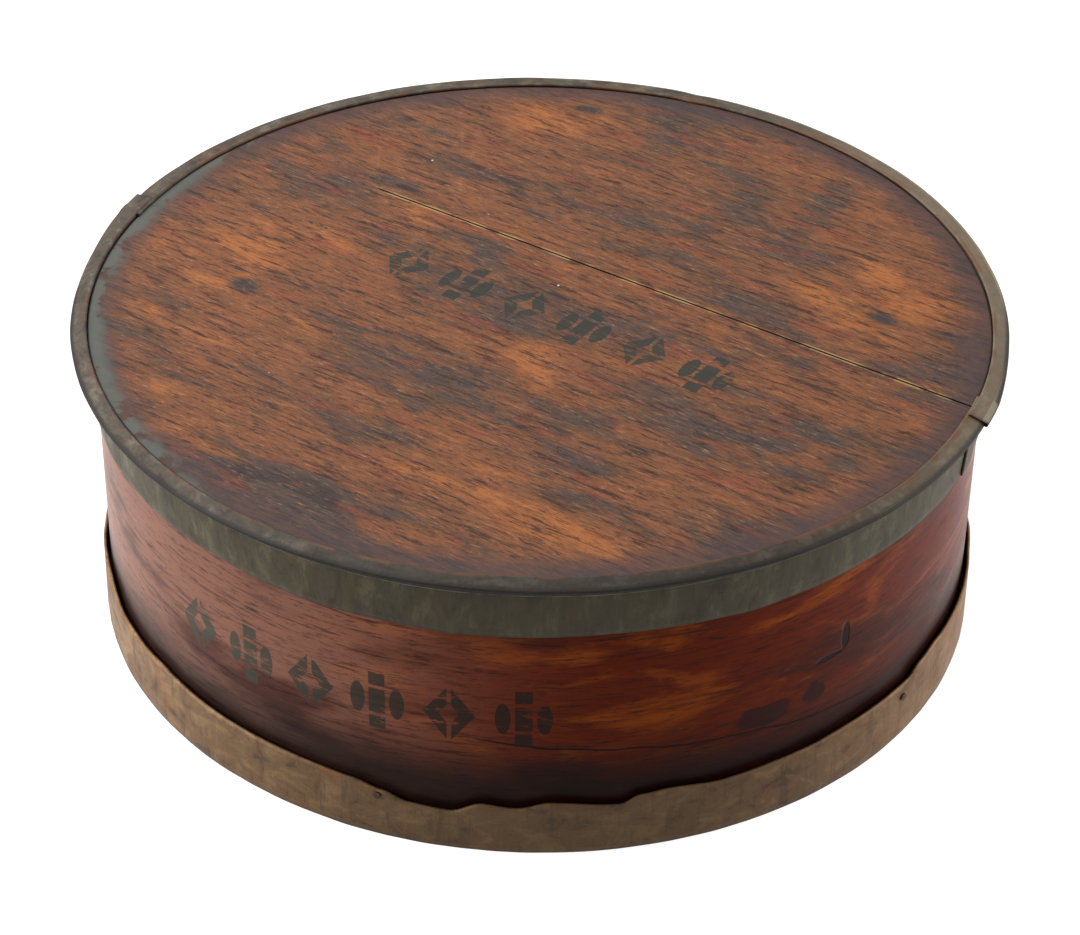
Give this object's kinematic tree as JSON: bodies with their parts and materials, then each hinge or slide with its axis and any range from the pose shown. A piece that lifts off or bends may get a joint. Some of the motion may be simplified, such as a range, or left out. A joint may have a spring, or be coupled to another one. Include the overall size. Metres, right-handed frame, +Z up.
{
  "type": "spice box",
  "caption": "Low round bentwood spice box with a tin-bound lift-off lid, a tin base band and small lidded canisters inside.",
  "frame": {"origin": "middle of the underside, on the surface that the box stands on", "axes": "+Z up through the middle of the lid, -Y towards the side seen in the picture, +X to the picture's right"},
  "size_m": [0.2412, 0.2412, 0.085],
  "materials": {
    "side_wood": "thin hardwood, stained red-brown and varnished glossy",
    "lid_wood": "worn varnished hardwood board with dark grain and stains",
    "base_wood": "bare planed softwood, darkened by age",
    "rim_tin": "tarnished tinplate, brown-grey, with rust at its inner edge",
    "skirt_tin": "tarnished tinplate with a green-grey cast",
    "base_tin": "tarnished tinplate, tan-brown, dented",
    "tack_iron": "black cut tacks",
    "canister_wood": "thin varnished hardwood",
    "canister_lid_wood": "varnished hardwood disc",
    "canister_tin": "dull tinplate"
  },
  "bodies": {
    "box": {"side_hoop": "side_wood", "hoop_tacks": "tack_iron", "base_board": "base_wood", "base_brads": "tack_iron", "base_band": "base_tin", "band_tacks": "tack_iron"},
    "lid": {"lid_board": "lid_wood", "lid_skirt_front": "skirt_tin", "lid_skirt_back": "skirt_tin", "lid_rim_front": "rim_tin", "lid_rim_back": "rim_tin"},
    "canister_1": {"canister_1_wall": "canister_wood", "canister_1_base": "canister_wood", "canister_1_band": "canister_tin"},
    "canister_1_lid": {"canister_1_lid_board": "canister_lid_wood", "canister_1_lid_band": "canister_tin"},
    "canister_2": {"canister_2_wall": "canister_wood", "canister_2_base": "canister_wood", "canister_2_band": "canister_tin"},
    "canister_2_lid": {"canister_2_lid_board": "canister_lid_wood", "canister_2_lid_band": "canister_tin"},
    "canister_3": {"canister_3_wall": "canister_wood", "canister_3_base": "canister_wood", "canister_3_band": "canister_tin"},
    "canister_3_lid": {"canister_3_lid_board": "canister_lid_wood", "canister_3_lid_band": "canister_tin"},
    "canister_4": {"canister_4_wall": "canister_wood", "canister_4_base": "canister_wood", "canister_4_band": "canister_tin"},
    "canister_4_lid": {"canister_4_lid_board": "canister_lid_wood", "canister_4_lid_band": "canister_tin"},
    "canister_5": {"canister_5_wall": "canister_wood", "canister_5_base": "canister_wood", "canister_5_band": "canister_tin"},
    "canister_5_lid": {"canister_5_lid_board": "canister_lid_wood", "canister_5_lid_band": "canister_tin"},
    "canister_6": {"canister_6_wall": "canister_wood", "canister_6_base": "canister_wood", "canister_6_band": "canister_tin"},
    "canister_6_lid": {"canister_6_lid_board": "canister_lid_wood", "canister_6_lid_band": "canister_tin"},
    "canister_7": {"canister_7_wall": "canister_wood", "canister_7_base": "canister_wood", "canister_7_band": "canister_tin"},
    "canister_7_lid": {"canister_7_lid_board": "canister_lid_wood", "canister_7_lid_band": "canister_tin"}
  },
  "joints": [
    {"name": "lid_lift", "type": "slide", "parent": "box", "child": "lid", "axis": [0, 0, 1], "range_m": [0, 0.18]},
    {"name": "canister_1_lift", "type": "slide", "parent": "box", "child": "canister_1", "axis": [0, 0, 1], "range_m": [0, 0.081]},
    {"name": "canister_1_lid_lift", "type": "slide", "parent": "canister_1", "child": "canister_1_lid", "axis": [0, 0, 1], "range_m": [0, 0.036]},
    {"name": "canister_2_lift", "type": "slide", "parent": "box", "child": "canister_2", "axis": [0, 0, 1], "range_m": [0, 0.081]},
    {"name": "canister_2_lid_lift", "type": "slide", "parent": "canister_2", "child": "canister_2_lid", "axis": [0, 0, 1], "range_m": [0, 0.036]},
    {"name": "canister_3_lift", "type": "slide", "parent": "box", "child": "canister_3", "axis": [0, 0, 1], "range_m": [0, 0.081]},
    {"name": "canister_3_lid_lift", "type": "slide", "parent": "canister_3", "child": "canister_3_lid", "axis": [0, 0, 1], "range_m": [0, 0.036]},
    {"name": "canister_4_lift", "type": "slide", "parent": "box", "child": "canister_4", "axis": [0, 0, 1], "range_m": [0, 0.081]},
    {"name": "canister_4_lid_lift", "type": "slide", "parent": "canister_4", "child": "canister_4_lid", "axis": [0, 0, 1], "range_m": [0, 0.036]},
    {"name": "canister_5_lift", "type": "slide", "parent": "box", "child": "canister_5", "axis": [0, 0, 1], "range_m": [0, 0.081]},
    {"name": "canister_5_lid_lift", "type": "slide", "parent": "canister_5", "child": "canister_5_lid", "axis": [0, 0, 1], "range_m": [0, 0.036]},
    {"name": "canister_6_lift", "type": "slide", "parent": "box", "child": "canister_6", "axis": [0, 0, 1], "range_m": [0, 0.081]},
    {"name": "canister_6_lid_lift", "type": "slide", "parent": "canister_6", "child": "canister_6_lid", "axis": [0, 0, 1], "range_m": [0, 0.036]},
    {"name": "canister_7_lift", "type": "slide", "parent": "box", "child": "canister_7", "axis": [0, 0, 1], "range_m": [0, 0.081]},
    {"name": "canister_7_lid_lift", "type": "slide", "parent": "canister_7", "child": "canister_7_lid", "axis": [0, 0, 1], "range_m": [0, 0.036]}
  ],
  "couplings": [
    {"joint": "canister_1_lift", "follows": "lid_lift", "ratio": 0.45},
    {"joint": "canister_1_lid_lift", "follows": "lid_lift", "ratio": 0.2},
    {"joint": "canister_2_lift", "follows": "lid_lift", "ratio": 0.45},
    {"joint": "canister_2_lid_lift", "follows": "lid_lift", "ratio": 0.2},
    {"joint": "canister_3_lift", "follows": "lid_lift", "ratio": 0.45},
    {"joint": "canister_3_lid_lift", "follows": "lid_lift", "ratio": 0.2},
    {"joint": "canister_4_lift", "follows": "lid_lift", "ratio": 0.45},
    {"joint": "canister_4_lid_lift", "follows": "lid_lift", "ratio": 0.2},
    {"joint": "canister_5_lift", "follows": "lid_lift", "ratio": 0.45},
    {"joint": "canister_5_lid_lift", "follows": "lid_lift", "ratio": 0.2},
    {"joint": "canister_6_lift", "follows": "lid_lift", "ratio": 0.45},
    {"joint": "canister_6_lid_lift", "follows": "lid_lift", "ratio": 0.2},
    {"joint": "canister_7_lift", "follows": "lid_lift", "ratio": 0.45},
    {"joint": "canister_7_lid_lift", "follows": "lid_lift", "ratio": 0.2}
  ]
}
